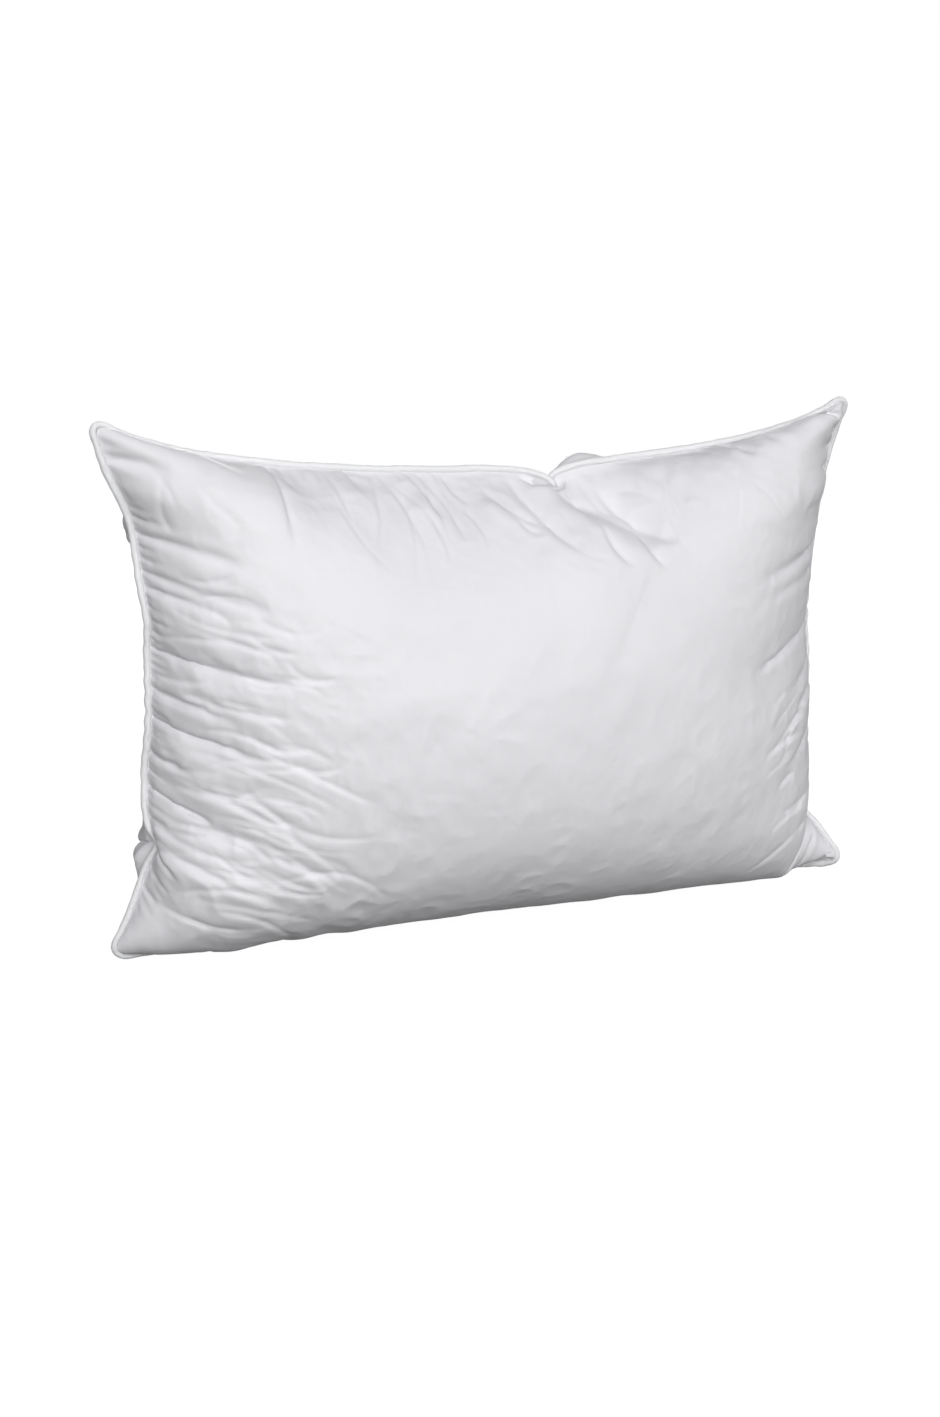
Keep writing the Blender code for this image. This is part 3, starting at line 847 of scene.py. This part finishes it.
class Shader:
    """A Principled material under construction, with the nodes that shape it."""

    def __init__(self, name, colour, roughness, sheen=0.0, specular=0.5):
        self.material = bpy.data.materials.new(name)
        self.material.use_nodes = True
        self.nodes = self.material.node_tree.nodes
        self.links = self.material.node_tree.links
        self.base = self.nodes["Principled BSDF"]
        values = {"Base Color": (*colour, 1), "Roughness": roughness, "Sheen Weight": sheen,
                  "Sheen Roughness": 0.4, "Specular IOR Level": specular}
        for socket, value in values.items():
            self.base.inputs[socket].default_value = value
        cut = self.nodes.new("ShaderNodeAttribute")
        cut.attribute_name = "cut"
        self.cut = cut.outputs["Vector"]
        self.normal = None

    def calculate(self, operation, first, second):
        node = self.nodes.new("ShaderNodeMath")
        node.operation = operation
        for socket, value in zip(node.inputs, (first, second)):
            if isinstance(value, (int, float)):
                socket.default_value = value
            else:
                self.links.new(value, socket)
        return node.outputs[0]

    def stretched(self, scale):
        node = self.nodes.new("ShaderNodeMapping")
        node.inputs["Scale"].default_value = scale
        self.links.new(self.cut, node.inputs["Vector"])
        return node.outputs[0]

    def noise(self, scale, detail=2.0, kind="FBM"):
        """Noise with scale features to the metre along the two threads."""
        node = self.nodes.new("ShaderNodeTexNoise")
        node.noise_type = kind
        node.inputs["Scale"].default_value = 1.0
        node.inputs["Detail"].default_value = detail
        self.links.new(self.stretched((*scale, 1.0)), node.inputs["Vector"])
        return node.outputs[0]

    def waves(self, along, up, pitch):
        """Sine wave whose crests lie one pitch apart, in the direction of (along, up)."""
        split = self.nodes.new("ShaderNodeSeparateXYZ")
        self.links.new(self.stretched((along, up, 0)), split.inputs[0])
        both = self.calculate("ADD", split.outputs[0], split.outputs[1])
        return self.calculate("SINE", self.calculate("MULTIPLY", both, 2 * math.pi / pitch), 0.0)

    def plain_weave(self, pitch):
        """Threads that pass over and under each other, pitch apart."""
        return self.calculate("MULTIPLY", self.waves(1, 0, 2 * pitch), self.waves(0, 1, 2 * pitch))

    def raise_by(self, height, distance, strength=1.0):
        node = self.nodes.new("ShaderNodeBump")
        node.inputs["Distance"].default_value = distance
        node.inputs["Strength"].default_value = strength
        self.links.new(height, node.inputs["Height"])
        if self.normal:
            self.links.new(self.normal, node.inputs["Normal"])
        self.normal = node.outputs[0]
        self.links.new(self.normal, self.base.inputs["Normal"])

    def vary_colour(self, factor, first, second):
        node = self.nodes.new("ShaderNodeValToRGB")
        set_ramp(node, (0.3, first), (0.7, second))
        self.links.new(factor, node.inputs[0])
        self.links.new(node.outputs[0], self.base.inputs["Base Color"])

    def vary_roughness(self, factor, low, high):
        node = self.nodes.new("ShaderNodeMapRange")
        node.inputs["To Min"].default_value = low
        node.inputs["To Max"].default_value = high
        self.links.new(factor, node.inputs["Value"])
        self.links.new(node.outputs[0], self.base.inputs["Roughness"])


def percale(name, light, dark, roughness):
    """Fine plain-woven cotton with slubs, faint shading from thread to thread, and press creases."""
    shader = Shader(name, light, roughness, sheen=0.22, specular=0.45)
    cloudy = shader.noise((11, 11))
    streaks = shader.calculate("ADD", shader.noise((40, 2600)), shader.noise((2600, 40)))
    mixed = shader.calculate("ADD", shader.calculate("MULTIPLY", cloudy, 0.7),
                             shader.calculate("MULTIPLY", streaks, 0.15))
    shader.vary_colour(mixed, dark, light)
    shader.vary_roughness(shader.noise((70, 70)), roughness - 0.06, roughness + 0.08)
    shader.raise_by(shader.noise((75, 75), 3.0, "RIDGED_MULTIFRACTAL"), 0.00035)
    shader.raise_by(shader.noise((300, 300), 2.0), 0.00010)
    shader.raise_by(streaks, 0.00002)
    shader.raise_by(shader.plain_weave(THREAD_PITCH), 0.00002)
    return shader.material


def twisted(name, colour, roughness, pitch, depth):
    """Plies twisted round each other."""
    shader = Shader(name, colour, roughness, sheen=0.3)
    shader.vary_colour(shader.noise((300, 300)), tuple(0.93 * c for c in colour), colour)
    shader.raise_by(shader.waves(1, 1, pitch), depth)
    return shader.material


def down_material():
    """Loose clusters of down."""
    shader = Shader("down", (0.90, 0.89, 0.86), 0.95, sheen=0.5)
    place = shader.nodes.new("ShaderNodeTexCoord")
    shader.cut = place.outputs["Object"]
    shader.vary_colour(shader.noise((60, 60)), (0.84, 0.83, 0.80), (0.92, 0.91, 0.88))
    shader.raise_by(shader.noise((90, 90), 5.0), 0.004)
    return shader.material


def satin_material():
    """Blank satin ribbon with fine ribs across it."""
    shader = Shader("ribbon", (0.90, 0.90, 0.91), 0.34, sheen=0.1, specular=0.6)
    shader.vary_colour(shader.noise((60, 400)), (0.87, 0.87, 0.88), (0.91, 0.91, 0.92))
    shader.raise_by(shader.waves(1, 0, 0.0007), 0.00004)
    shader.raise_by(shader.waves(0, 1, 0.0003), 0.00002)
    return shader.material


# Stage

def show_camera(tree, lighting, seen, output):
    """Ends a material or world with one shader that the camera sees, and another for all other light."""
    ray = tree.nodes.new("ShaderNodeLightPath")
    mix = tree.nodes.new("ShaderNodeMixShader")
    out = tree.nodes.new(output)
    tree.links.new(ray.outputs["Is Camera Ray"], mix.inputs[0])
    tree.links.new(lighting.outputs[0], mix.inputs[1])
    tree.links.new(seen.outputs[0], mix.inputs[2])
    tree.links.new(mix.outputs[0], out.inputs[0])


def make_floor():
    """A pale floor that the camera sees nearly white, while it throws less light back at the pillow."""
    material = bpy.data.materials.new("floor")
    material.use_nodes = True
    nodes, links = material.node_tree.nodes, material.node_tree.links
    nodes.clear()
    seen = nodes.new("ShaderNodeEmission")
    seen.inputs["Strength"].default_value = FLOOR_SEEN
    pale = nodes.new("ShaderNodeBsdfDiffuse")
    pale.inputs["Color"].default_value = (FLOOR_PALE, FLOOR_PALE, FLOOR_PALE, 1)
    both = nodes.new("ShaderNodeAddShader")
    links.new(seen.outputs[0], both.inputs[0])
    links.new(pale.outputs[0], both.inputs[1])
    show_camera(material.node_tree, pale, both, "ShaderNodeOutputMaterial")
    corners = [(FLOOR_HALF * x, FLOOR_HALF * y, 0) for x, y in ((-1, -1), (1, -1), (1, 1), (-1, 1))]
    floor = make_object("floor", corners, [(0, 1, 2, 3)], material)
    floor.location.z = -FLOOR_DROP


def make_light(name, place, target, size, power):
    data = bpy.data.lights.new(name, "AREA")
    data.shape = "DISK"
    data.size = size
    data.energy = power
    lamp = bpy.data.objects.new(name, data)
    lamp.location = place
    lamp.rotation_euler = (Vector(target) - Vector(place)).to_track_quat("-Z", "Y").to_euler()
    bpy.context.scene.collection.objects.link(lamp)


def make_camera():
    data = bpy.data.cameras.new("camera")
    data.sensor_width = 36.0
    data.lens = CAMERA_LENS
    camera = bpy.data.objects.new("camera", data)
    yaw, pitch = math.radians(CAMERA_YAW), math.radians(CAMERA_PITCH)
    back = Vector((math.sin(yaw) * math.cos(pitch), -math.cos(yaw) * math.cos(pitch), math.sin(pitch)))
    camera.location = Vector(CAMERA_TARGET) + back * CAMERA_DISTANCE
    camera.rotation_euler = back.to_track_quat("Z", "Y").to_euler()
    bpy.context.scene.collection.objects.link(camera)
    bpy.context.scene.camera = camera


def make_world():
    """Soft light that comes mostly from the front, with a white surround for the camera."""
    world = bpy.data.worlds.new("studio")
    world.use_nodes = True
    nodes, links = world.node_tree.nodes, world.node_tree.links
    nodes.clear()
    place = nodes.new("ShaderNodeTexCoord")
    spread = nodes.new("ShaderNodeMapping")
    spread.inputs["Location"].default_value = (0.5, 0.5, 0.5)
    spread.inputs["Scale"].default_value = (0.5, 0.5, 0.5)
    spread.inputs["Rotation"].default_value = (math.radians(WORLD_TILT), 0, 0)
    split = nodes.new("ShaderNodeSeparateXYZ")
    ramp = nodes.new("ShaderNodeValToRGB")
    soft = nodes.new("ShaderNodeBackground")
    white = nodes.new("ShaderNodeBackground")
    set_ramp(ramp, (0.1, (1.0, 1.0, 1.02)), (0.56, (0.22, 0.22, 0.23)))
    soft.inputs["Strength"].default_value = WORLD_STRENGTH
    links.new(place.outputs["Generated"], spread.inputs[0])
    links.new(spread.outputs[0], split.inputs[0])
    links.new(split.outputs["Y"], ramp.inputs[0])
    links.new(ramp.outputs[0], soft.inputs["Color"])
    white.inputs["Color"].default_value = (1, 1, 1, 1)
    show_camera(world.node_tree, soft, white, "ShaderNodeOutputWorld")
    bpy.context.scene.world = world
    bpy.context.scene.view_settings.view_transform = "Standard"


def add_piece(piece, slot, *nodes):
    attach(piece, "root")
    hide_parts(*nodes)


def build():
    ticking = percale("ticking", (0.86, 0.855, 0.88), (0.82, 0.815, 0.84), 0.52)
    trim = percale("piping", (0.89, 0.89, 0.90), (0.86, 0.86, 0.87), 0.58)
    thread = twisted("thread", (0.90, 0.90, 0.91), 0.5, 0.0005, 0.00006)
    cloth = simulate_panels()
    columns, rows = cloth.shape[0] - 1, cloth.shape[1] - 1
    line, length = even_line(cloth[rim_path(columns, rows)][:, 0], SEAM_STATIONS)
    front = make_panel("front_cloth", cloth[:, :, 0], FRONT, ticking)
    back = make_panel("back_cloth", cloth[:, :, 1], BACK, ticking)
    filling = make_filling(cloth, down_material())
    label = make_label(cloth[:, :, 1], satin_material())
    cord = twisted("cord", (0.80, 0.79, 0.76), 0.85, 0.003, 0.0004)
    add_piece(front, "ticking", "front_panel")
    add_piece(back, "ticking", "back_panel")
    add_piece(filling, "down", "down_filling")
    add_piece(make_piping(line, length, trim), "piping", "piping_cover")
    add_piece(make_cord(line, length, cord), "cord", "piping_cord")
    add_piece(make_seam_stitches("needle_stitches", line, length, FRONT, thread), "thread", "needle_thread")
    add_piece(make_seam_stitches("bobbin_stitches", line, length, BACK, thread), "thread", "bobbin_thread")
    add_piece(make_closing_stitches(cloth[:, :, 1], line, thread), "thread", "closing_thread")
    add_piece(label, "label", "care_label")
    make_floor()
    make_world()
    for light in LIGHTS:
        make_light(*light)
    make_camera()


build()
